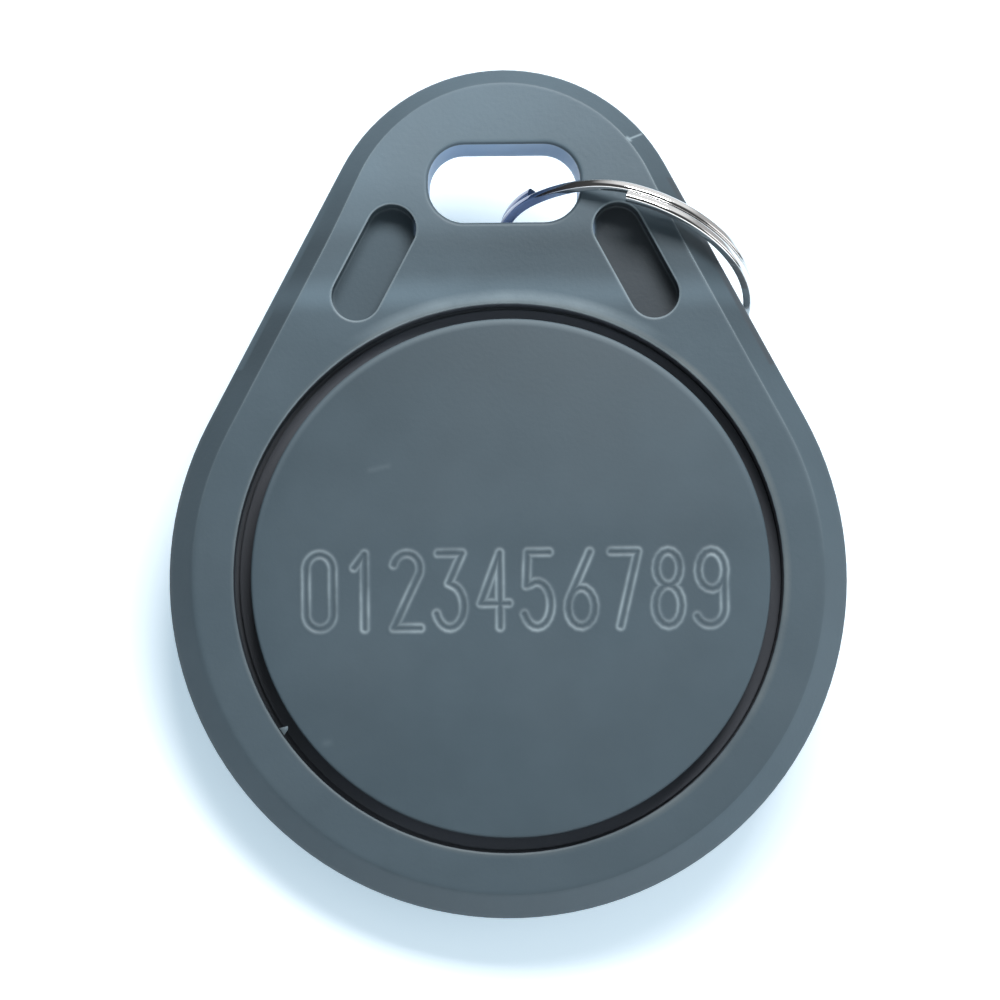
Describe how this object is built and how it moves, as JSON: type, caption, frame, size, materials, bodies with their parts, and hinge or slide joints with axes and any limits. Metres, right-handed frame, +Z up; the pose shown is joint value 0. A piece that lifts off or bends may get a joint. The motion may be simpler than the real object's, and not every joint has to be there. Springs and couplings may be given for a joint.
{
  "type": "rfid key fob",
  "caption": "Teardrop access fob in grey plastic with a round welded lid over its chip and antenna, blind side pockets, and a split ring through the slot in its narrow end.",
  "frame": {"origin": "centre of the bottom of the bounding box, on the surface that the fob lies on", "axes": "+Z up; +Y from the round end towards the slotted end, as seen from above; +X to the right"},
  "size_m": [0.032, 0.04, 0.0127],
  "materials": {
    "housing_plastic": "grey blue moulded plastic with a fine grain, satin",
    "lid_plastic": "the same plastic, a little smoother, numbers engraved",
    "winding_wire": "enamelled copper wire, wound",
    "board_laminate": "green laminate",
    "pad_copper": "thin plated copper",
    "die_silicon": "polished silicon",
    "resin_black": "black potting resin, glossy",
    "solder": "bright solder",
    "ring_nickel": "polished nickel plated steel"
  },
  "bodies": {
    "fob": {"body_shell": "housing_plastic", "lid_disc": "lid_plastic", "antenna_coil": "winding_wire", "chip_board": "board_laminate", "contact_pads": "pad_copper", "chip_die": "die_silicon", "chip_resin": "resin_black", "solder_joints": "solder"},
    "ring": {"split_ring": "ring_nickel"}
  },
  "joints": [
    {"name": "ring_spin", "type": "hinge", "parent": "fob", "child": "ring", "pos_m": [0.00605, 0.01103, 0.00633], "axis": [-0.3464, -0.9034, 0.2529], "continuous": true}
  ]
}
